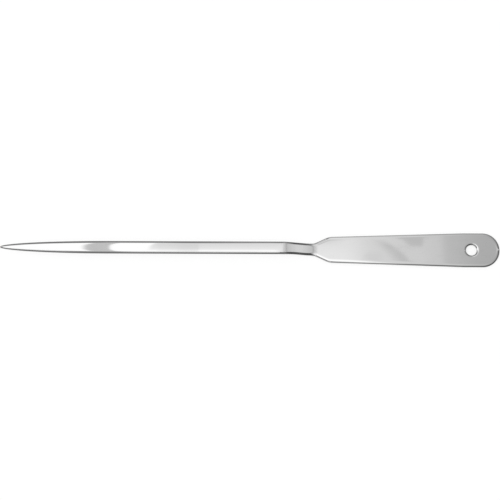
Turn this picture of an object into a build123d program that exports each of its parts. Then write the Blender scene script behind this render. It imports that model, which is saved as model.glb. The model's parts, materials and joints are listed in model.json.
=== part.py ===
from build123d import *
import math
import os

# A letter opener pressed from one piece of steel strip, in millimetres. It lies on its handle:
# the point is at -X, the handle at +X, the underside of the handle at Z = 0, and the origin is
# under the middle of the length.

# Strip, and the largest share of its thickness that one rounded edge may take
THICKNESS = 2.0
LARGEST_ROUND = 0.45

# Blade: straight sides that close to a blunt point along a half ellipse
BLADE_LENGTH = 135.1
BLADE_WIDTH = 6.1
POINT_SEMI_AXIS = 52.0
POINT_RADIUS = 0.5
POINT_THICKNESS = 1.4
BEVEL_WIDTH = 1.05
EDGE_LAND = 0.8
FACET_SETBACK = 1.8
FACET_RADIUS = 0.2

# Crank: two bends that set the handle lower than the blade
CRANK_DROP = 5.0
CRANK_ANGLE = 26.0
CRANK_RADIUS = 12.5

# Neck and handle, seen from above
NECK_LENGTH = 15.1
NECK_WIDTH = 5.8
WAIST_LENGTH = 6.0
FLARE_ANGLE = 25.0
FLARE_RADIUS = 8.0
SHOULDER_WIDTH = 12.7
SHOULDER_RADIUS = 7.0
HANDLE_LENGTH = 82.4
HANDLE_WIDTH = 16.7
HANDLE_PARALLEL = 9.4
TAPER_RADIUS = 60.0
EDGE_RADIUS = 0.9

# Hanging hole
HOLE_DIAMETER = 5.0
HOLE_TO_END = 13.7
HOLE_RIM = 0.5

# Stations along X
flare_run = (SHOULDER_WIDTH - NECK_WIDTH) / 2 / math.tan(math.radians(FLARE_ANGLE))
overall = BLADE_LENGTH + NECK_LENGTH + flare_run + HANDLE_LENGTH
tip_x = -overall / 2
heel_x = tip_x + BLADE_LENGTH
flare_x = heel_x + NECK_LENGTH
shoulder_x = flare_x + flare_run
end_x = overall / 2
round_x = end_x - HANDLE_WIDTH / 2
widest_x = round_x - HANDLE_PARALLEL
hole_x = end_x - HOLE_TO_END

# Heights of the middle of the strip
handle_z = THICKNESS / 2
blade_z = handle_z + CRANK_DROP


def point_angle(semi_axis, half_width, radius):
    """Angle on the ellipse at which a circle of this radius, centred on the axis, touches it."""
    square = (radius * semi_axis / half_width) ** 2 - half_width**2
    return math.asin(math.sqrt(square / (semi_axis**2 - half_width**2)))


def point_reach(semi_axis, half_width, radius):
    """Distance from the centre of the ellipse to the front of the circle that rounds it off."""
    along = semi_axis * math.cos(point_angle(semi_axis, half_width, radius))
    return along * (1 - (half_width / semi_axis) ** 2) + radius


def blade_outline(centre_x, semi_axis, half_width, radius, z):
    """Outline of the blade, or of the flat on its face, at one height."""
    sweep = 90 - math.degrees(point_angle(semi_axis, half_width, radius))
    front_x = centre_x - point_reach(semi_axis, half_width, radius)
    upper = EllipticalCenterArc((centre_x, 0), semi_axis, half_width, 90, arc_size=sweep)
    lower = mirror(upper, about=Plane.XZ)
    nose = ThreePointArc(upper @ 1, (front_x, 0), lower @ 1)
    side = Line((heel_x, half_width), upper @ 0)
    other_side = mirror(side, about=Plane.XZ)
    heel = Line((heel_x, -half_width), (heel_x, half_width))
    face = make_face([side, upper, nose, lower, other_side, heel])
    return Pos(0, 0, z) * face


# Blade: a thin slab at the edges, with a bevelled half above it and another below
half_blade = BLADE_WIDTH / 2
point_x = tip_x + point_reach(POINT_SEMI_AXIS, half_blade, POINT_RADIUS)
facet_axis = POINT_SEMI_AXIS - FACET_SETBACK
half_facet = half_blade - BEVEL_WIDTH
edge_outline = blade_outline(point_x, POINT_SEMI_AXIS, half_blade, POINT_RADIUS, EDGE_LAND / 2)
facet_outline = blade_outline(point_x, facet_axis, half_facet, FACET_RADIUS, THICKNESS / 2)
bevelled_half = loft([edge_outline, facet_outline], ruled=True)
slab = extrude(edge_outline, amount=-EDGE_LAND)
full_blade = slab + bevelled_half + mirror(bevelled_half, about=Plane.XY)

# The point is thinned: seen from the side, its two faces close in towards the tip
thin_side = Polyline(
    (heel_x, THICKNESS / 2),
    (point_x, THICKNESS / 2),
    (tip_x, POINT_THICKNESS / 2),
    (tip_x, -POINT_THICKNESS / 2),
    (point_x, -THICKNESS / 2),
    (heel_x, -THICKNESS / 2),
    close=True,
)
thin_strip = extrude(Plane.XZ * make_face(thin_side), amount=BLADE_WIDTH, both=True)
blade = Pos(0, 0, blade_z) * (full_blade & thin_strip)

# Crank seen from the side: the middle line of the strip has two corners, each rounded by a bend
angle = math.radians(CRANK_ANGLE)
tangent = math.tan(angle / 2)
first_x = heel_x + CRANK_RADIUS * tangent
second_x = first_x + CRANK_DROP / math.tan(angle)
inside = CRANK_RADIUS - THICKNESS / 2
outside = CRANK_RADIUS + THICKNESS / 2
shift = THICKNESS / 2 * tangent
top_z = blade_z + THICKNESS / 2
top = FilletPolyline(
    (tip_x, top_z),
    (first_x + shift, top_z),
    (second_x + shift, THICKNESS),
    (end_x, THICKNESS),
    radius=[outside, inside],
)
bottom = FilletPolyline(
    (tip_x, CRANK_DROP),
    (first_x - shift, CRANK_DROP),
    (second_x - shift, 0),
    (end_x, 0),
    radius=[inside, outside],
)
side_view = make_face(
    [top, Line(top @ 1, bottom @ 1), bottom, Line(bottom @ 0, top @ 0)]
)
cranked_strip = extrude(Plane.XZ * side_view, amount=HANDLE_WIDTH, both=True)

# Neck and handle seen from above, cut out of the cranked strip
waist = TangentArc(
    (heel_x + WAIST_LENGTH, NECK_WIDTH / 2),
    (heel_x, half_blade),
    tangent=(-1, 0),
)
flank = FilletPolyline(
    waist @ 0,
    (flare_x, NECK_WIDTH / 2),
    (shoulder_x, SHOULDER_WIDTH / 2),
    (widest_x, HANDLE_WIDTH / 2),
    (round_x, HANDLE_WIDTH / 2),
    radius=[FLARE_RADIUS, SHOULDER_RADIUS, TAPER_RADIUS],
)
round_end = ThreePointArc(flank @ 1, (end_x, 0), (round_x, -HANDLE_WIDTH / 2))
half_outline = [waist, flank]
other_half = [mirror(line, about=Plane.XZ) for line in half_outline]
heel_line = Line((heel_x, -half_blade), (heel_x, half_blade))
plan = make_face([*half_outline, round_end, *other_half, heel_line])
handle = extrude(plan, amount=top_z) & cranked_strip

# Rounded edges all along the neck and the handle, but not across the strip
across = handle.edges().filter_by(Axis.Y) + handle.edges().filter_by(Axis.Z)
along = [edge for edge in handle.edges() if edge not in across]
handle = fillet(along, min(EDGE_RADIUS, LARGEST_ROUND * THICKNESS))

# Hanging hole with a rounded rim on both faces
handle -= Pos(hole_x, 0, handle_z) * Cylinder(HOLE_DIAMETER / 2, THICKNESS)
circles = handle.edges().filter_by(GeomType.CIRCLE)
rims = [edge for edge in circles if math.isclose(edge.radius, HOLE_DIAMETER / 2)]
handle = fillet(rims, min(HOLE_RIM, LARGEST_ROUND * THICKNESS))

# The blade and the handle are one piece of metal
opener = handle + blade

os.makedirs("parts", exist_ok=True)
export_step(opener, "parts/blade_and_handle.step")
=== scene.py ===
# %% [markdown]
# A letter opener of bright plated steel: a long narrow blade, a cranked neck and a flat handle with
# a hanging hole. The whole opener is one pressed strip, so the scene has one piece. It is built by
# rule in Geometry Nodes, plated with a procedural material and laid on a pale studio table.
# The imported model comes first. It fixes the place and the size of everything that follows.

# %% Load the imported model
import json
import math

import bmesh
import bpy
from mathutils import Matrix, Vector


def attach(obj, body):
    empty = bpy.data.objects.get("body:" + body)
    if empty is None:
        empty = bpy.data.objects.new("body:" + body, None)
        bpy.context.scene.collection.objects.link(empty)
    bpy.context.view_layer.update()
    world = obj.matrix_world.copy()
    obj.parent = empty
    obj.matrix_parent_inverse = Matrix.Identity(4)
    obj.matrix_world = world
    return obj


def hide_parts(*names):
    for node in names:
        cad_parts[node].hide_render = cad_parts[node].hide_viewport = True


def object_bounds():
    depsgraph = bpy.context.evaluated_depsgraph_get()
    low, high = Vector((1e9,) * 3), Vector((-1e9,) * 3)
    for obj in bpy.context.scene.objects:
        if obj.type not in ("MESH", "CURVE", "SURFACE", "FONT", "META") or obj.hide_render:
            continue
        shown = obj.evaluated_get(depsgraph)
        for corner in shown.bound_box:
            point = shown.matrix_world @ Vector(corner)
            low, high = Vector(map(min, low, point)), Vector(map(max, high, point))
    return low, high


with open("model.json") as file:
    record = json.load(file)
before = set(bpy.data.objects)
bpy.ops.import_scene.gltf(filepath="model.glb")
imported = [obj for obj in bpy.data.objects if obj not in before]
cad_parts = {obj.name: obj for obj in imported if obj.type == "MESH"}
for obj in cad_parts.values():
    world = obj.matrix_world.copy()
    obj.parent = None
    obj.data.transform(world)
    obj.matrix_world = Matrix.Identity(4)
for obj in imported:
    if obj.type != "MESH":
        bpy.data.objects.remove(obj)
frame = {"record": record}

cad_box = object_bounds()
print("CAD box in metres:", [list(corner) for corner in cad_box])

# %% [markdown]
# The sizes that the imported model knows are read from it: the length, the width of the handle, the
# height of the crank and the hanging hole. The others are the sizes of the strip in millimetres.
# A table of sizes at the top would also do, but a size that is read can't drift from the model.

# %% Sizes of the strip
MM = 0.001
low, high = cad_box
hole = next(mount for mount in frame["record"]["mounts"] if mount["kind"] == "bore")
hole_x = hole["pos_m"][0]
hole_radius = hole["dims"]["r_mm"] * MM
half_handle = high.y
half_thick = 1.0 * MM

half_blade = 3.05 * MM
half_land = 0.4 * MM
bevel_width = 1.05 * MM
face_crown = 0.05 * MM
point_axis = 52.0 * MM
nose_radius = 0.5 * MM
facet_axis = 51.24 * MM
facet_nose_radius = 0.1 * MM
facet_narrowing = 1.2

heel_x = 15.1 * MM
half_neck = 2.9 * MM
half_neck_land = 0.52 * MM
waist_run = 6.0 * MM
flare_x = 30.2 * MM
flare_angle = math.radians(25)
flare_slope = math.tan(flare_angle)
shoulder_x = 37.6 * MM
half_shoulder = 6.35 * MM
widest_x = 102.25 * MM
round_x = high.x - half_handle
edge_roll = 2.0 * MM
edge_corner = 0.5 * MM
print("Round end starts at", round(round_x / MM, 2), "mm, hole radius", hole_radius / MM, "mm")

# %% [markdown]
# A node tree is mostly arithmetic on values that travel along wires. Typing every Math node by hand
# hides the rule that they make up, so a small class stands for one wire: adding or multiplying two
# wires adds the Math node for it. The formulas below then read as they would on paper.

# %% A wire that does arithmetic
def feed(entry, value):
    """Link a wire to a socket, or write a plain value on it."""
    if isinstance(value, Wire):
        entry.id_data.links.new(value.socket, entry)
    else:
        entry.default_value = value


class Wire:
    """One value in a node tree. Arithmetic on it adds Math nodes to that tree."""

    def __init__(self, socket):
        self.socket = socket

    def math(self, operation, *others):
        node = self.socket.id_data.nodes.new("ShaderNodeMath")
        node.operation = operation
        for entry, value in zip(node.inputs, (self, *others)):
            feed(entry, value)
        return Wire(node.outputs[0])

    def __add__(self, other):
        return self.math("ADD", other)

    def __sub__(self, other):
        return self.math("SUBTRACT", other)

    def __mul__(self, other):
        return self.math("MULTIPLY", other)

    def __truediv__(self, other):
        return self.math("DIVIDE", other)

    def rest(self):
        """What is left of 1."""
        return self * -1 + 1

    def sin(self):
        return self.math("SINE")

    def cos(self):
        return self.math("COSINE")

    def clamp(self):
        """The same value, kept between 0 and 1."""
        held = self + 0.0
        held.socket.node.use_clamp = True
        return held

    def step(self, start, stop):
        """0 up to start, 1 from stop, and a smooth rise between them."""
        node = self.socket.id_data.nodes.new("ShaderNodeMapRange")
        node.interpolation_type = "SMOOTHSTEP"
        feed(node.inputs["Value"], self)
        feed(node.inputs["From Min"], start)
        feed(node.inputs["From Max"], stop)
        return Wire(node.outputs["Result"])


def mix(first, second, share):
    """From the first value at share 0 to the second at share 1."""
    return first + (second - first) * share


def add(tree, kind, **inputs):
    """Add a node, feed its sockets by name, and return it."""
    node = tree.nodes.new(kind)
    for name, value in inputs.items():
        feed(node.inputs[name.replace("_", " ")], value)
    return node


print("Wires ready")

# %% [markdown]
# The tree for the strip has a named input for many of its sizes. A modifier's inputs are set by the
# socket's identifier, so these are kept in a table.

# %% The tree and its sizes
body = bpy.data.node_groups.new("pressed_strip", "GeometryNodeTree")
body.interface.new_socket("Geometry", in_out="OUTPUT", socket_type="NodeSocketGeometry")
sizes = {}


def size(name, value):
    """A named input of the tree, as a wire."""
    socket = body.interface.new_socket(name, in_out="INPUT", socket_type="NodeSocketFloat")
    socket.default_value = value
    sizes[socket.identifier] = value
    return Wire(body.nodes.new("NodeGroupInput").outputs[name])


HALF_THICK = size("Half Thickness", half_thick)
HALF_LAND = size("Half Edge Land", half_land)
NECK_LAND = size("Half Edge Land of the Neck", half_neck_land)
HALF_BLADE = size("Half Blade Width", half_blade)
HALF_NECK = size("Half Neck Width", half_neck)
HALF_SHOULDER = size("Half Shoulder Width", half_shoulder)
HALF_HANDLE = size("Half Handle Width", half_handle)
BEVEL_WIDTH = size("Bevel Width", bevel_width)
EDGE_ROLL = size("Edge Roll", edge_roll)
CORNER = size("Edge Corner Radius", edge_corner)
FACE_CROWN = size("Blade Face Crown", face_crown)
print("Inputs so far:", len(sizes))

# %% [markdown]
# Only a quarter of the opener is drawn: one side of one face, from the middle line out to the edge.
# It starts as a flat sheet of squares. Along the sheet the squares belong to zones, from the nose of
# the point to the round end. Across it they belong to the face, the bevelled or rolled edge, and the
# narrow land at the very rim. In each zone a share runs from 0 to 1, and stays there afterwards.

# %% Sheets of squares with zones
ALONG = {"nose": 6, "point": 70, "blade": 84, "neck": 104, "grip": 72, "collar": 24, "end": 30}
ACROSS = {"face": 18, "edge": 16, "land": 2}


def shares(place, zones):
    """How far each zone is done at this place on the sheet."""
    start = 0
    done = {}
    for zone, count in zones.items():
        done[zone] = ((place - start) / count).clamp()
        start += count
    return done


def sheet(columns, rows):
    """A grid with one square for each step, and the shares along and across it."""
    wide = sum(columns.values())
    deep = sum(rows.values())
    grid = add(body, "GeometryNodeMeshGrid", Size_X=wide, Size_Y=deep)
    grid.inputs["Vertices X"].default_value = wide + 1
    grid.inputs["Vertices Y"].default_value = deep + 1
    place = Wire(body.nodes.new("GeometryNodeInputPosition").outputs[0])
    axes = add(body, "ShaderNodeSeparateXYZ", Vector=place).outputs
    along = shares(Wire(axes["X"]) + wide / 2, columns)
    across = shares(Wire(axes["Y"]) + deep / 2, rows)
    return Wire(grid.outputs["Mesh"]), along, across


strip, along, across = sheet(ALONG, ACROSS)
print("Strip sheet:", sum(ALONG.values()), "by", sum(ACROSS.values()), "squares")

# %% [markdown]
# Seen from above, the strip is as wide as the narrowest or widest of four lines: the blade with its
# waist, the flare, the slow taper of the handle, and the parallel end. Smooth Minimum and Smooth
# Maximum pick the line and round the corner between two of them, as the press tool's radius does. Well
# before the shoulder the taper's line stays level, so that it can't cut into the blade.

# %% Width of the strip along its length
taper_slope = (half_handle - half_shoulder) / (widest_x - shoulder_x)
taper_start = -8.0 * MM
flare_blend = 1.2 * MM
shoulder_blend = 1.0 * MM
taper_blend = 0.05 * MM

HEEL_X = size("Heel X", heel_x)
FLARE_X = size("Flare X", flare_x)
SHOULDER_X = size("Shoulder X", shoulder_x)


def half_width(x):
    """Half the width of the strip at x."""
    waist = mix(HALF_BLADE, HALF_NECK, x.step(HEEL_X, HEEL_X + waist_run))
    flare = (x - FLARE_X) * flare_slope + HALF_NECK
    taper = (x - SHOULDER_X).math("MAXIMUM", taper_start) * taper_slope + HALF_SHOULDER
    wide = waist.math("SMOOTH_MAX", flare, flare_blend)
    wide = wide.math("SMOOTH_MIN", taper, shoulder_blend)
    return wide.math("SMOOTH_MIN", HALF_HANDLE, taper_blend)


print("Taper of the handle:", round(math.degrees(math.atan(taper_slope)), 2), "degrees a side")

# %% [markdown]
# The blade closes to its point along a half ellipse, and a small circle blunts the nose. Where the
# circle hands over to the ellipse follows from the two, so it is worked out here once for the outer
# edge and once for the flat facet inside it.

# %% Where the nose meets the point
def nose_turns(axis, half, radius):
    """Angles on the ellipse and on the nose circle where they touch."""
    square = (radius * axis / half) ** 2 - half**2
    on_ellipse = math.asin(math.sqrt(square / (axis**2 - half**2)))
    on_circle = math.asin(half * math.sin(on_ellipse) / radius)
    return on_ellipse, on_circle


def reach(axis, half, radius):
    """From the front of the nose to the middle of the ellipse."""
    on_ellipse, on_circle = nose_turns(axis, half, radius)
    return axis * math.cos(on_ellipse) + radius * (1 - math.cos(on_circle))


half_facet = half_blade - bevel_width
point_x = low.x + reach(point_axis, half_blade, nose_radius)
facet_x = point_x - reach(facet_axis, half_facet, facet_nose_radius)
print("Point ends at", round(point_x / MM, 2), "mm, facet starts at", round(facet_x / MM, 2), "mm")

# %% [markdown]
# The outline then has one rule for all zones: every zone adds its own run to x, and every zone can
# scale y. The point scales y by a sine, the round end by a cosine. The same rule gives the outer
# edge and, set in from it, the line where the face stops and the bevel or the rolled edge begins.

# %% Outline of the edge and of the face
neck_lead = 1.5 * MM
shoulder_lag = 6.0 * MM
collar_lead = 8.6 * MM
neck_start_x = heel_x - neck_lead
grip_start_x = shoulder_x + shoulder_lag
collar_x = hole_x - collar_lead
RUNS = {
    "blade": neck_start_x - point_x,
    "neck": grip_start_x - neck_start_x,
    "grip": collar_x - grip_start_x,
    "collar": round_x - collar_x,
}
quarter = math.pi / 2


def straight_x(share):
    """Place along the middle zones, between the point and the round end."""
    x = share["blade"] * RUNS["blade"] + point_x
    for zone in ("neck", "grip", "collar"):
        x = x + share[zone] * RUNS[zone]
    return x


def outline(share, inset, axis, half, radius, narrowing=1.0):
    """x and y of the outline, or of a line set in from it. A narrowing slims the point."""
    on_ellipse, on_circle = nose_turns(axis, half, radius)
    nose = share["nose"] * on_circle
    point = share["point"] * (quarter - on_ellipse) + on_ellipse
    end = share["end"] * quarter
    middle = straight_x(share)
    front = nose.cos() * -radius - point.cos() * axis + radius * math.cos(on_circle)
    x = middle + front + (HALF_HANDLE - inset) * end.sin()
    opening = point.sin().math("POWER", narrowing) * nose.sin() / math.sin(on_circle)
    y = (half_width(middle) - inset) * opening * end.cos()
    return x, y


roll_turn = math.radians(32)
corner_turn = math.radians(86)
roll_lead = 3.0 * MM
roll_lag = 2.0 * MM
EDGE_RUN = EDGE_ROLL + CORNER * (math.sin(corner_turn) - math.sin(roll_turn))

strip_x = straight_x(along)
rolled = strip_x.step(FLARE_X - roll_lead, FLARE_X + roll_lag)
inset = mix(BEVEL_WIDTH, EDGE_RUN, rolled)
edge_x, edge_y = outline(along, 0.0, point_axis, half_blade, nose_radius)
face_x, face_y = outline(along, inset, facet_axis, half_facet, facet_nose_radius, facet_narrowing)
print("Zone runs in mm:", {zone: round(run / MM, 1) for zone, run in RUNS.items()})

# %% [markdown]
# Across the strip, the face runs flat from the middle line to the facet line. On the blade a bevel
# leads from there to the edge, a little convex as a polishing wheel leaves it. It keeps its angle, so
# where the point narrows, the face comes down with it and the point gets thinner. Along the neck the
# bevel gets shallower. On the handle the edge is rolled over instead: a slope that steepens slowly, and
# then a small round corner. The blade's face is crowned by a few hundredths of a millimetre, which is
# what bends the light near its edges.

# %% Section of the strip
roll_part = 0.625
roll_power = 4
bevel_power = 1.25
crown_power = 3
nose_band = 0.45 * MM
land_lead = 2.0 * MM
land_lag = 5.0 * MM
crown_lead = 4.0 * MM

edge_share = across["edge"]
roll_share = (edge_share / roll_part).clamp()
roll_depth = math.tan(roll_turn) / roll_power
corner_share = ((edge_share - roll_part) / (1 - roll_part)).clamp()
turn = corner_share * (corner_turn - roll_turn) + roll_turn

roll_out = (EDGE_ROLL * roll_share + CORNER * (turn.sin() - math.sin(roll_turn))) / EDGE_RUN
roll_down = EDGE_ROLL * roll_share.math("POWER", roll_power) * roll_depth
corner_down = CORNER * (turn.cos() * -1 + math.cos(roll_turn))
roll_drop = EDGE_ROLL * roll_depth + CORNER * (math.cos(roll_turn) - math.cos(corner_turn))
roll_down = (roll_down + corner_down) / roll_drop

on_neck = strip_x.step(HEEL_X - land_lead, HEEL_X + land_lag)
half_land_here = mix(HALF_LAND, NECK_LAND, on_neck)
bevel_slope = (HALF_THICK - half_land_here) / BEVEL_WIDTH
bevel_run = (edge_y - face_y).math("MAXIMUM", nose_band).math("MINIMUM", BEVEL_WIDTH)
bevel_drop = bevel_run * bevel_slope
outward = mix(edge_share, roll_out, rolled)
downward = mix(edge_share.math("POWER", bevel_power), roll_down, rolled)
edge_drop = mix(bevel_drop, roll_drop, rolled)
side_z = mix(half_land_here, HALF_THICK - roll_drop, rolled)

spread = (across["face"] * quarter).sin()
on_blade = strip_x.step(HEEL_X - crown_lead, HEEL_X).rest()
crown = spread.math("POWER", crown_power) * FACE_CROWN * on_blade

section_x = mix(face_x, edge_x, outward)
section_y = face_y * spread + (edge_y - face_y) * outward
section_z = side_z * across["land"].rest() + (edge_drop - crown) * downward.rest()
print("Section: face, edge and land in", sum(ACROSS.values()), "steps")

# %% [markdown]
# The squares go to these places with Set Position. The face of the last stretch, around the hole, is
# left out, because rows that run straight across can't go round a hole. A named attribute keeps how
# far each point is over the edge, for the plating to read.

# %% Place the strip
def place_squares(mesh, x, y, z, worn):
    """Move the squares to x, y, z and store how exposed each point is."""
    spot = add(body, "ShaderNodeCombineXYZ", X=x, Y=y, Z=z)
    moved = add(body, "GeometryNodeSetPosition", Geometry=mesh, Position=Wire(spot.outputs[0]))
    stored = body.nodes.new("GeometryNodeStoreNamedAttribute")
    stored.data_type = "FLOAT"
    stored.domain = "POINT"
    feed(stored.inputs["Geometry"], Wire(moved.outputs["Geometry"]))
    feed(stored.inputs["Name"], "worn_edge")
    feed(stored.inputs["Value"], worn)
    return Wire(stored.outputs["Geometry"])


around_hole = along["collar"].math("GREATER_THAN", 0) * across["face"].math("LESS_THAN", 1)
opened = body.nodes.new("GeometryNodeDeleteGeometry")
opened.domain = "FACE"
feed(opened.inputs["Geometry"], strip)
feed(opened.inputs["Selection"], around_hole)
flanks = place_squares(Wire(opened.outputs[0]), section_x, section_y, section_z, downward)
print("Strip placed, with an opening around the hole")

# %% [markdown]
# The face around the hole is a fan. Its rays start on the wall of the hole, climb a small countersink,
# roll over its rim and run out to the points that the strip already has on its facet line, so the two
# sheets share their seam. A Boolean could cut the hole instead, but it leaves slivers, and polished
# metal shows every one.

# %% A fan around the hanging hole
AROUND = {"row": ACROSS["face"], "collar": ALONG["collar"], "end": ALONG["end"]}
OUT = {"wall": 2, "cone": 2, "rim": 8, "ray": 14}
rim_turn = math.radians(37)
cone_width = 0.35 * MM
rim_width = 0.7 * MM
HOLE_RADIUS = size("Hole Radius", hole_radius)
CONE_WIDTH = size("Countersink Width", cone_width)
RIM_WIDTH = size("Rim Width", rim_width)

fan, around, out = sheet(AROUND, OUT)
seam_x = around["collar"] * RUNS["collar"] + collar_x
end_turn = around["end"] * quarter
ray_x = seam_x + (HALF_HANDLE - EDGE_RUN) * end_turn.sin() - hole_x
ray_y = (half_width(seam_x) - EDGE_RUN) * (around["row"] * quarter).sin() * end_turn.cos()
ray_length = (ray_x * ray_x + ray_y * ray_y).math("SQRT")

back_turn = out["rim"].rest() * rim_turn
rim_out = RIM_WIDTH * (back_turn.sin() / math.sin(rim_turn)).rest()
rim_down = RIM_WIDTH * back_turn.cos().rest() / math.sin(rim_turn)
cone_depth = CONE_WIDTH * math.tan(rim_turn)
wall_z = HALF_THICK - cone_depth - RIM_WIDTH * math.tan(rim_turn / 2)

flat_start = HOLE_RADIUS + CONE_WIDTH + RIM_WIDTH
flat_out = (ray_length - flat_start) * out["ray"]
ray_radius = HOLE_RADIUS + CONE_WIDTH * out["cone"] + rim_out + flat_out
below_rim = HALF_THICK - wall_z - cone_depth
fan_z = wall_z * out["wall"] + cone_depth * out["cone"] + below_rim - rim_down
fan_x = ray_x / ray_length * ray_radius + hole_x
fan_y = ray_y / ray_length * ray_radius
rim = place_squares(fan, fan_x, fan_y, fan_z, out["rim"].rest())
print("Fan:", sum(AROUND.values()), "rays in", sum(OUT.values()), "steps")

# %% [markdown]
# The quarter is mirrored twice, to the other side and to the underside. A mirrored face points the
# wrong way until it is flipped. Merge by Distance then welds the seams, so that the strip is closed.

# %% Mirror the quarter
def joined(*shapes):
    """Several shapes as one."""
    node = body.nodes.new("GeometryNodeJoinGeometry")
    for shape in shapes:
        feed(node.inputs["Geometry"], shape)
    return Wire(node.outputs["Geometry"])


def mirrored(shape, scale):
    """The shape together with its mirror image."""
    turned = add(body, "GeometryNodeTransform", Geometry=shape, Scale=scale)
    flipped = add(body, "GeometryNodeFlipFaces", Mesh=Wire(turned.outputs["Geometry"]))
    return joined(shape, Wire(flipped.outputs["Mesh"]))


weld = 0.0001 * MM
blank = mirrored(mirrored(joined(flanks, rim), (1, -1, 1)), (1, 1, -1))
blank = Wire(add(body, "GeometryNodeMergeByDistance", Geometry=blank, Distance=weld).outputs[0])
print("Blank welded at", weld / MM, "mm")

# %% [markdown]
# A pressed and polished strip is never dead flat. A slow noise lowers its faces by up to a few
# hundredths of a millimetre, with a fixed seed. It only ever lowers them, so the strip stays inside
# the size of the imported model, and it fades out before the edges.

# %% Slow waves in the faces
wave_depth = 0.02
wave_seed = 7.0
waves_per_metre = (28, 70, 300)
face_share = 0.7
WAVE = size("Wave Depth", wave_depth)
SEED = size("Wave Seed", wave_seed)

flat_spot = Wire(body.nodes.new("GeometryNodeInputPosition").outputs[0])
flat = add(body, "ShaderNodeSeparateXYZ", Vector=flat_spot).outputs
flat_places = [Wire(flat[axis]) for axis in "XYZ"]
flat_x, flat_y, flat_z = flat_places
wave_x, wave_y, wave_z = (place * count for place, count in zip(flat_places, waves_per_metre))
wave_spot = add(body, "ShaderNodeCombineXYZ", X=wave_x, Y=wave_y, Z=wave_z)
wave = body.nodes.new("ShaderNodeTexNoise")
wave.noise_dimensions = "4D"
feed(wave.inputs["Vector"], Wire(wave_spot.outputs[0]))
feed(wave.inputs["W"], SEED)
feed(wave.inputs["Scale"], 1.0)
feed(wave.inputs["Detail"], 0.0)
on_face = flat_z.math("ABSOLUTE").step(HALF_THICK * face_share, HALF_THICK)
lowered = flat_z * (Wire(wave.outputs[0]) * WAVE * on_face).rest()
print("Waves up to", round(wave_depth * half_thick / MM, 3), "mm deep")

# %% [markdown]
# Last, the flat blank goes through the crank, as on the bending press: two bends with a short ramp
# between them set the handle lower than the blade. The slope of a bend eases in and out, because strip
# never folds along a sharp line: it is a smooth step, and the drop is the area under that step. Each
# point keeps its distance from the middle of the strip. A Simple Deform modifier bends too, but it
# can't make a crank of a given depth.

# %% Bend the crank
crank_angle = math.radians(26)
crank_radius = 12.5 * MM
first_run = 10.0 * MM
second_run = 11.0 * MM
crank_drop = (high.z - low.z) - 2 * half_thick
first_x = heel_x + crank_radius * math.tan(crank_angle / 2)
second_x = first_x + crank_drop / math.tan(crank_angle)


def bend(corner_x, run):
    """How far a bend of one in one has dropped at x, and how steep it is there."""
    share = ((flat_x - corner_x) / run + 0.5).clamp()
    cube = share.math("POWER", 3)
    after = (flat_x - corner_x - run * 0.5).math("MAXIMUM", 0.0)
    drop = (cube - cube * share * 0.5) * run + after
    return drop, share * share * 3 - cube * 2


FIRST_RUN = size("First Bend Length", first_run)
SECOND_RUN = size("Second Bend Length", second_run)
first_drop, first_slope = bend(first_x, FIRST_RUN)
second_drop, second_slope = bend(second_x, SECOND_RUN)
drop = (first_drop - second_drop) * math.tan(crank_angle)
tilt = ((first_slope - second_slope) * math.tan(crank_angle)).math("ARCTANGENT")

bent_x = flat_x + lowered * tilt.sin()
bent_z = HALF_THICK + crank_drop - drop + lowered * tilt.cos()
bent_spot = add(body, "ShaderNodeCombineXYZ", X=bent_x, Y=flat_y, Z=bent_z)
bent = add(body, "GeometryNodeSetPosition", Geometry=blank, Position=Wire(bent_spot.outputs[0]))
print("Crank corners at", round(first_x / MM, 2), "and", round(second_x / MM, 2), "mm")

# %% [markdown]
# The plating is a thin bright metal coat over steel, polished lengthwise on a wheel. A plain metal
# with one roughness looks like computer chrome. What makes it steel is small: hairlines along the
# strip, a cloudy unevenness from handling, and edges that the wheel has brightened. All of it reads
# the object's own coordinates, in metres, so the scales below are counts per metre.

# %% Bright plated steel
plated = bpy.data.materials.new("nickel_plate")
plated.use_nodes = True
finish = plated.node_tree
gloss = finish.nodes["Principled BSDF"]
gloss.inputs["Metallic"].default_value = 1.0
object_spot = Wire(finish.nodes.new("ShaderNodeTexCoord").outputs["Object"])


def noise(scale, detail, roughness):
    """Noise between 0 and 1 that is stretched by three scales."""
    mapped = add(finish, "ShaderNodeMapping", Vector=object_spot, Scale=scale)
    spot = Wire(mapped.outputs["Vector"])
    pattern = add(finish, "ShaderNodeTexNoise", Vector=spot, Scale=1.0, Detail=detail)
    pattern.inputs["Roughness"].default_value = roughness
    return Wire(pattern.outputs[0])


hairlines = noise(scale=(90, 5200, 5200), detail=3.0, roughness=0.5)
clouds = noise(scale=(45, 90, 90), detail=3.0, roughness=0.6)
smears = noise(scale=(120, 260, 260), detail=4.0, roughness=0.65)
worn = finish.nodes.new("ShaderNodeAttribute")
worn.attribute_name = "worn_edge"
exposed = Wire(worn.outputs["Fac"])
print("Patterns of the plating ready")

# %% [markdown]
# The handle is held and the blade is not, so the handle's gloss is a little softer. A band across each
# bend is duller, because bending stretches the surface. Roughness carries most of the finish. The
# colour changes by only a few parts in a hundred, because clean plating is even, and the bump of the
# hairlines is far thinner than a hair. Two small tables say how much each pattern adds.

# %% Gloss, colour and hairlines of the plating
object_x = Wire(add(finish, "ShaderNodeSeparateXYZ", Vector=object_spot).outputs["X"])
on_handle = object_x.step(heel_x, shoulder_x)
handled = smears.step(0.45, 0.75) * on_handle


def dull_band(centre):
    """A soft band across the strip."""
    half_band = 1.5 * MM
    return object_x.step(centre - half_band, centre) * object_x.step(centre, centre + half_band).rest()


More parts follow.
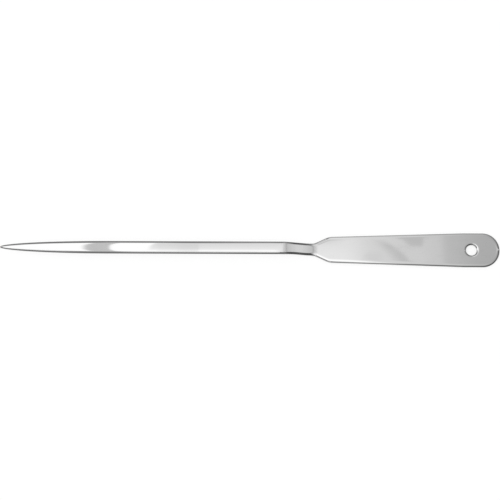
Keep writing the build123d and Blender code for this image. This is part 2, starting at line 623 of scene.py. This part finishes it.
first_dull_x = first_x - 1.6 * MM
second_dull_x = second_x + 2.7 * MM
patterns = {
    "clouds": clouds,
    "hairlines": hairlines,
    "handle": on_handle,
    "smears": handled,
    "bends": dull_band(first_dull_x) + dull_band(second_dull_x),
    "edges": exposed,
}
ROUGHNESS = {"clouds": 0.012, "hairlines": 0.014, "handle": 0.006, "smears": 0.02, "bends": 0.2}
TONE = {"clouds": 0.03, "hairlines": 0.03, "smears": -0.02, "edges": 0.02}
least_roughness = 0.018
least_tone = 0.71


def weighted(total, weights):
    """The total plus each pattern times its weight."""
    for name, weight in weights.items():
        total = patterns[name] * weight + total
    return total


feed(gloss.inputs["Roughness"], weighted(least_roughness, ROUGHNESS))
tone = weighted(least_tone, TONE)
colour = add(finish, "ShaderNodeCombineColor", Red=tone, Green=tone, Blue=tone)
feed(gloss.inputs["Base Color"], Wire(colour.outputs["Color"]))

relief = hairlines * 0.6 + smears * 0.4
bump = add(finish, "ShaderNodeBump", Strength=0.01, Distance=0.05 * MM, Height=relief)
feed(gloss.inputs["Normal"], Wire(bump.outputs["Normal"]))
print("Plating nodes:", len(finish.nodes))

# %% [markdown]
# The tree ends with smooth shading, Realize Instances and Set Material. The modifier's inputs are set
# by identifier before the first evaluation, and the result is turned into a plain mesh.

# %% Make the opener
real = add(body, "GeometryNodeRealizeInstances", Geometry=Wire(bent.outputs["Geometry"]))
smooth = add(body, "GeometryNodeSetShadeSmooth", Geometry=Wire(real.outputs[0]))
coated = add(body, "GeometryNodeSetMaterial", Geometry=Wire(smooth.outputs[0]), Material=plated)
result = body.nodes.new("NodeGroupOutput")
feed(result.inputs["Geometry"], Wire(coated.outputs[0]))

opener = bpy.data.objects.new("opener", bpy.data.meshes.new("opener_start"))
bpy.context.scene.collection.objects.link(opener)
press = opener.modifiers.new("press", "NODES")
press.node_group = body
for identifier, value in sizes.items():
    press[identifier] = value

evaluated = opener.evaluated_get(bpy.context.evaluated_depsgraph_get())
pressed = bpy.data.meshes.new_from_object(evaluated)
opener.modifiers.remove(press)
opener.data = pressed
pressed.name = "opener"
print("Opener:", len(pressed.vertices), "points,", len(pressed.polygons), "faces")

# %% [markdown]
# A closed mesh has two faces at every edge and a volume above zero. Both are counted here, because a
# seam that failed to weld shows in polished metal as a dark hairline.

# %% Check that the opener is closed
probe = bmesh.new()
probe.from_mesh(pressed)
open_edges = [edge for edge in probe.edges if len(edge.link_faces) != 2]
volume = probe.calc_volume(signed=True)
print("Open edges:", len(open_edges), "volume in mm3:", round(volume / MM**3, 1))
probe.free()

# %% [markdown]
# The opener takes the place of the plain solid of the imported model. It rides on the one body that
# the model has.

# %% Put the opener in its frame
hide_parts("blade_and_handle")
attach(opener, "root")
print("Opener rides on root")

# %% [markdown]
# The table is a plain pale floor. In the camera and in reflections it is mostly its own white, and the
# rest is lit, so that the soft shadow of the opener stays on it.

# %% Floor
def grey(tone):
    """A grey as Blender writes a colour."""
    return (tone, tone, tone, 1.0)


def bare_material(name):
    """A new material with an empty tree."""
    material = bpy.data.materials.new(name)
    material.use_nodes = True
    material.node_tree.nodes.clear()
    return material


def end_in_mix(tree, under, upper, share):
    """End a material's tree in two shaders, of which the upper one has this share."""
    blend = add(tree, "ShaderNodeMixShader", Fac=share)
    feed(blend.inputs[1], Wire(under.outputs[0]))
    feed(blend.inputs[2], Wire(upper.outputs[0]))
    last = tree.nodes.new("ShaderNodeOutputMaterial")
    feed(last.inputs["Surface"], Wire(blend.outputs[0]))


def seen_directly(tree):
    """1 for camera, glossy and transmission rays, 0 for the rays that only carry light."""
    path = tree.nodes.new("ShaderNodeLightPath").outputs
    seen = Wire(path["Is Camera Ray"]) + Wire(path["Is Glossy Ray"]) + Wire(path["Is Transmission Ray"])
    return seen.clamp()


floor_half = 3.0
floor_tone = 0.9
own_white = 0.75
floor_mesh = bpy.data.meshes.new("floor")
floor_signs = [(-1, -1), (1, -1), (1, 1), (-1, 1)]
floor_corners = [(x * floor_half, y * floor_half, low.z) for x, y in floor_signs]
floor_mesh.from_pydata(floor_corners, [], [(0, 1, 2, 3)])
floor = bpy.data.objects.new("floor", floor_mesh)
bpy.context.scene.collection.objects.link(floor)

pale = bare_material("pale_floor")
pale_tree = pale.node_tree
lit = add(pale_tree, "ShaderNodeBsdfDiffuse", Color=grey(floor_tone))
white = add(pale_tree, "ShaderNodeEmission", Color=grey(1.0), Strength=1.0)
end_in_mix(pale_tree, lit, white, seen_directly(pale_tree) * own_white)
floor_mesh.materials.append(pale)
print("Floor at", low.z, "m")

# %% [markdown]
# The light is plain: a white world, and one broad soft lamp overhead that gives the shadow a side. The
# lamp stays out of reflections, because a round lamp mirrored in flat metal is a hard white disc.

# %% World and lamp
world = bpy.data.worlds.new("studio")
bpy.context.scene.world = world
world.use_nodes = True
sky_light = world.node_tree.nodes["Background"]
sky_light.inputs["Color"].default_value = grey(1.0)
sky_light.inputs["Strength"].default_value = 1.0

lamp_data = bpy.data.lights.new("soft_lamp", "AREA")
lamp_data.shape = "DISK"
lamp_data.size = 1.2
lamp_data.energy = 6.0
lamp = bpy.data.objects.new("soft_lamp", lamp_data)
lamp.location = (-0.3, -0.2, 1.5)
lamp.rotation_euler = lamp.location.to_track_quat("Z", "Y").to_euler()
lamp.visible_glossy = False
bpy.context.scene.collection.objects.link(lamp)
print("World white, one soft lamp overhead")

# %% [markdown]
# The camera looks down on the table from the front, ten degrees off the vertical, through a long lens
# as for a catalogue picture. The opener fills the width of the frame.

# %% Camera
elevation = math.radians(80)
roll = math.radians(0.2)
camera_data = bpy.data.cameras.new("camera")
camera_data.lens = 100
camera_data.sensor_width = 36
field_width = 240.4 * MM
distance = camera_data.lens / camera_data.sensor_width * field_width
target = Vector((0.0, -0.5 * MM, 3 * MM))
away = Vector((0.0, -math.cos(elevation), math.sin(elevation)))
camera = bpy.data.objects.new("camera", camera_data)
camera.location = target + away * distance
camera.rotation_euler = (math.pi / 2 - elevation, 0.0, roll)
bpy.context.scene.collection.objects.link(camera)
bpy.context.scene.camera = camera
bpy.context.scene.view_settings.view_transform = "Standard"
print("Camera", round(distance, 3), "m away")

# %% [markdown]
# Polished metal shows the room, not itself, so a photographer lights it inside a tent of cards. A card
# is a flat sheet that only reflections see. Its brightness runs along its first side, its rims can
# fade, and a bow curves its side rims. A net is a card that dims what is behind it instead of shining.

# %% A card and its paint
HARD_RIM = 1e-4
RIMS = ("left", "right", "near", "far")


def tone_ramp(tree, place, tones, brightest):
    """Greys along a card, as shares of the brightest."""
    ramp = add(tree, "ShaderNodeValToRGB", Fac=place)
    ramp.color_ramp.interpolation = "EASE"
    stops = ramp.color_ramp.elements
    while len(stops) < len(tones):
        stops.new(0.5)
    for stop, (share, tone) in zip(stops, tones):
        stop.position = share
        stop.color = grey(tone / brightest)
    return Wire(ramp.outputs["Color"])


def card_paint(name, tones, fade, bow, is_net):
    """Light of a card, or the shade of a net, clear towards the rims that fade."""
    paint = bare_material(name)
    tree = paint.node_tree
    card_spot = Wire(tree.nodes.new("ShaderNodeUVMap").outputs[0])
    axes = add(tree, "ShaderNodeSeparateXYZ", Vector=card_spot).outputs
    v = Wire(axes["Y"])
    off_middle = v - 0.5
    u = Wire(axes["X"]) - off_middle * off_middle * bow
    if is_net:
        shade = tone_ramp(tree, u, tones, 1.0)
        surface = add(tree, "ShaderNodeBsdfTransparent", Color=shade)
    else:
        brightest = max(tone for share, tone in tones)
        light = tone_ramp(tree, u, tones, brightest)
        surface = add(tree, "ShaderNodeEmission", Color=light, Strength=brightest)
    clear = tree.nodes.new("ShaderNodeBsdfTransparent")
    left, right, near, far = (fade.get(rim, HARD_RIM) for rim in RIMS)
    shown = u.step(0, left) * u.rest().step(0, right) * v.step(0, near) * v.rest().step(0, far)
    end_in_mix(tree, clear, surface, shown)
    return paint


def card(name, corners, tones, fade, bow=0.0, is_net=False):
    """A four-cornered card that only reflections see."""
    mesh = bpy.data.meshes.new(name)
    mesh.from_pydata(corners, [], [(0, 1, 2, 3)])
    spots = mesh.uv_layers.new(name="card").data
    for spot, uv in zip(spots, ((0, 0), (1, 0), (1, 1), (0, 1))):
        spot.uv = uv
    mesh.materials.append(card_paint(name, tones, fade, bow, is_net))
    plate = bpy.data.objects.new(name, mesh)
    bpy.context.scene.collection.objects.link(plate)
    plate.visible_camera = False
    plate.visible_diffuse = False
    plate.visible_shadow = False
    plate.visible_transmission = False


print("Cards can be hung")

# %% [markdown]
# Four walls and a ceiling make the tent. What the flat faces mirror from above lies on the ceiling,
# behind the middle. A place there is named by the place on the opener that shows it, in millimetres.
# Setting cards by eye would also do, but the law of the mirror says where each one belongs.

# %% The tent, and how cards stand and hang in it
NO_FADE = {}
tent_x = 1.0
tent_y = 0.5
tent_z = 0.6
mirror_lift = (tent_z - high.z) / (camera.location.z - high.z)
mirror_y = -camera.location.y * mirror_lift


def seen_at(place):
    """X on the ceiling of what the flat faces show at this place, in mm along the opener."""
    return place * MM * (1 + mirror_lift)


def ramp_shares(tones, start, stop):
    """Tones at places in metres, as tones at shares of the way from start to stop."""
    return [((place - start) / (stop - start), tone) for place, tone in tones]


def wall(name, start, stop, zs, tones, fade=NO_FADE):
    """An upright card between two places on the table and two heights."""
    corners = [(*start, zs[0]), (*stop, zs[0]), (*stop, zs[1]), (*start, zs[1])]
    card(name, corners, tones, fade)


def long_wall(name, y, zs, tones, fade=NO_FADE):
    """A wall along the opener, with its tones at places in metres."""
    wall(name, (-tent_x, y), (tent_x, y), zs, ramp_shares(tones, -tent_x, tent_x), fade)


def cross_wall(name, x, zs, tones, fade=NO_FADE):
    """A wall across the opener, with its tones at shares of the way from front to back."""
    wall(name, (x, -tent_y), (x, tent_y), zs, tones, fade)


def level_card(name, xs, ys, tones, sink=0.0, slant=0.0, fade=NO_FADE, bow=0.0, is_net=False):
    """A level card below the ceiling. A slant shears it about the line that the faces mirror."""
    (left, right), (near, far) = xs, ys
    corners = []
    for x, y in ((left, near), (right, near), (right, far), (left, far)):
        corners.append((x + slant * (y - mirror_y), y, tent_z - sink))
    card(name, corners, ramp_shares(tones, left, right), fade, bow, is_net)


def even(tone):
    """One tone from end to end."""
    return [(0.0, tone), (1.0, tone)]


print("The faces mirror the ceiling at y =", round(mirror_y, 3), "m")

# %% [markdown]
# The walls are dark, because bright metal gets its outlines from what is dark around it. Three of them
# glow near the table, which a low view shows on the faces. A light high on the back wall is what the
# upper edge of the flare mirrors.

# %% Walls
sill_z = 0.26
front_tones = [(-1.0, 0.22), (-0.12, 0.22), (-0.06, 0.17), (0.15, 0.16), (0.4, 0.08), (1.0, 0.15)]
low_back_tones = [(-1.0, 0.22), (0.0, 0.22), (0.1, 0.26), (0.35, 0.12), (1.0, 0.3)]
high_back_tones = [(-1.0, 0.3), (-0.06, 0.3), (0.02, 0.7), (0.08, 0.75)]
high_back_tones += [(0.25, 0.45), (0.5, 0.3), (1.0, 0.4)]
long_wall("wall_front", -tent_y, (0.0, tent_z), front_tones)
long_wall("wall_back_low", tent_y, (0.0, sill_z), low_back_tones)
long_wall("wall_back_high", tent_y, (sill_z, tent_z), high_back_tones)
cross_wall("wall_right", tent_x, (0.0, tent_z), [(0.0, 0.12), (1.0, 0.2)])
cross_wall("wall_left", -tent_x, (0.0, tent_z), even(0.3))

wall_gap = 0.01
low_glow = (0.0, 0.24)
end_glow = (0.0, 0.4)
glow_tone = 0.75
glow_fade = {"far": 0.8}
glow_tones = [(-1.0, glow_tone), (0.05, glow_tone), (0.25, 0.1), (1.0, 0.15)]
flare_y = tent_y - wall_gap
flare_fade = {"left": 0.3, "right": 0.3, "near": 0.2, "far": 0.2}
long_wall("glow_front", wall_gap - tent_y, low_glow, glow_tones, glow_fade)
wall("flare_light", (-0.16, flare_y), (-0.06, flare_y), (0.36, 0.59), even(1.15), flare_fade)
cross_wall("glow_right", tent_x - wall_gap, end_glow, even(glow_tone), glow_fade)
cross_wall("glow_left", wall_gap - tent_x, end_glow, even(glow_tone), glow_fade)
print("Walls stand", 2 * tent_x, "by", 2 * tent_y, "m apart")

# %% [markdown]
# The ceiling is white over the blade and gets darker towards the end of the handle. A flat face shows
# this as a slow gradient, which is what tells the eye that it is flat and polished.

# %% Ceiling
ceiling_tones = [
    (-1.0, 0.95),
    (seen_at(46), 0.97),
    (seen_at(61), 0.865),
    (seen_at(80), 0.815),
    (seen_at(90), 0.76),
    (seen_at(116), 0.63),
    (0.33, 0.5),
    (0.55, 0.18),
    (1.0, 0.14),
]
level_card("ceiling", (-tent_x, tent_x), (-tent_y, tent_y), ceiling_tones)
print("Ceiling at", tent_z, "m")

# %% [markdown]
# Under the ceiling hang two soft boxes. The one on the left whitens the blade up to its middle. The one
# in front brightens the lower edges of the faces.

# %% Soft boxes
white_tone = 1.36
left_end = -46.5
front_end = 60
left_xs = (-tent_x, seen_at(left_end))
left_tones = [(left_xs[0], white_tone), (left_xs[1], white_tone)]
left_fade = {"right": 0.006, "near": 0.1, "far": 0.1}
level_card("softbox_left", left_xs, (-0.3, 0.25), left_tones, sink=0.004, slant=0.04, fade=left_fade)

front_xs = (-0.9, seen_at(front_end))
front_box_tones = [(front_xs[0], white_tone), (front_xs[1], white_tone)]
front_fade = {"right": 0.04, "far": 0.3}
level_card(
    "softbox_front", front_xs, (-0.22, 0.13), front_box_tones, sink=0.008, slant=-0.085, fade=front_fade
)
print("Soft boxes end where the opener is at", left_end, "and", front_end, "mm")

# %% [markdown]
# Two flags, which are dark cards, keep the outlines dark, one in front and one behind. A white card
# beyond the front flag lightens the top of the blade's lower bevel.

# %% Flags
flag_tones = [(-tent_x, 0.12), (0.0, 0.12), (0.09, 0.6), (0.16, 0.25), (0.3, 0.1), (tent_x, 0.1)]
level_card("flag_front", (-tent_x, tent_x), (-tent_y, -0.2), flag_tones, sink=0.01, fade={"far": 0.1})

bevel_xs = (-0.4, 0.03)
bevel_tones = [(-0.4, 1.2), (-0.21, 1.2), (-0.18, 0.45), (-0.14, 0.45), (-0.11, 1.2), (0.03, 1.2)]
level_card("white_front", bevel_xs, (-tent_y, -0.33), bevel_tones, sink=0.012, fade={"far": 0.2})

back_xs = (-tent_x, 0.04)
back_tones = [(back_xs[0], 0.6), (back_xs[1], 0.6)]
back_fade = {"near": 0.15, "right": 0.05}
level_card("flag_back", back_xs, (0.24, tent_y), back_tones, sink=0.012, fade=back_fade)
print("Flags hung")

# %% [markdown]
# A bowed grey card makes the band across the white of the blade. A narrow strip on the right is what
# the ramp of the neck shows, because the ramp is tilted that way.

# %% Grey band and neck strip
band_xs = (seen_at(-81.5), seen_at(-58))
band_grey = 0.7
band_tones = [(band_xs[0], band_grey), (seen_at(-67.6), band_grey)]
band_tones += [(seen_at(-66), white_tone), (band_xs[1], white_tone)]
level_card(
    "grey_band", band_xs, (-0.1, 0.3), band_tones, sink=0.012, slant=-0.012, fade={"left": 0.18}, bow=3.2
)

strip_left = 0.22
strip_right = 0.86
strip_z = tent_z - 0.032
strip_corners = [
    (strip_left, 0.083, strip_z),
    (strip_right, 0.156, strip_z),
    (strip_right, 0.191, strip_z),
    (strip_left, 0.117, strip_z),
]
strip_tones = [(strip_left, 0.64), (0.28, 0.7), (0.36, 0.74), (0.55, 0.8), (0.8, 0.86), (strip_right, 0.86)]
strip_fade = {"left": 0.02, "right": 0.08, "near": 0.25, "far": 0.25}
card("neck_strip", strip_corners, ramp_shares(strip_tones, strip_left, strip_right), strip_fade)
print("Band", round(band_xs[1] - band_xs[0], 3), "m wide, strip at", strip_z, "m")

# %% [markdown]
# Nets draw the soft shapes on the handle. It is easiest to name a net's corners by the places on the
# handle where they show, and to let the law of the mirror find where each one hangs. One more net, a
# plain level one, shades the middle of the blade.

# %% Nets over the handle and the blade
def over(x, y, sink):
    """Where a thing hangs below the ceiling if the handle mirrors it at x, y, in millimetres."""
    face_z = 2 * half_thick
    z = tent_z - sink
    lift = (z - face_z) / (camera.location.z - face_z)
    return (x * MM * (1 + lift), y * MM * (1 + lift) - camera.location.y * lift, z)


def net(name, places, shade, sink, fade, bow=0.0):
    """A net with its corners at places on the handle. It lets this share of the light through."""
    corners = [over(x, y, sink) for x, y in places]
    card(name, corners, even(shade), fade, bow, is_net=True)


wedge_places = [(70.5, -9), (81.2, -9), (64.2, 6), (56, 6)]
wedge_fade = {"left": 0.9, "right": 0.06, "far": 0.3}
net("net_wedge", wedge_places, shade=0.78, sink=0.016, fade=wedge_fade, bow=-1.2)
lobe_places = [(51.7, -9), (67, -9), (66, -0.3), (56.3, -0.3)]
lobe_fade = {"left": 0.05, "right": 0.45, "far": 0.3}
net("net_lobe", lobe_places, shade=0.95, sink=0.02, fade=lobe_fade)
patch_places = [(76.5, 1), (83, 1), (84.4, 9), (67.8, 9)]
patch_fade = {"left": 0.12, "right": 0.1, "near": 0.12}
net("net_patch", patch_places, shade=0.8, sink=0.02, fade=patch_fade)
top_places = [(70.5, 9), (84.4, 9), (84.4, 40), (69, 40)]
net("net_top", top_places, shade=0.8, sink=0.02, fade={"left": 0.12, "right": 0.1})
end_places = [(90.2, -70), (150, -70), (150, 90), (90.2, 90)]
net("net_end", end_places, shade=0.87, sink=0.024, fade={"left": 0.077, "near": 0.38})
flare_places = [(24, 1), (48, 1), (48, 40), (14, 40)]
net("net_flare", flare_places, shade=0.76, sink=0.028, fade={"left": 0.2, "right": 0.6, "near": 0.15})

shade_xs = (seen_at(-45), seen_at(-23.8))
shade_tones = [(shade_xs[0], 0.95), (seen_at(-37), 0.93), (seen_at(-31), 0.86), (shade_xs[1], 0.86)]
shade_fade = {"left": 0.1, "right": 0.06, "far": 0.9}
level_card("net_blade", shade_xs, (-0.02, 0.27), shade_tones, sink=0.016, fade=shade_fade, is_net=True)
print("Nets hung over the handle and the blade")
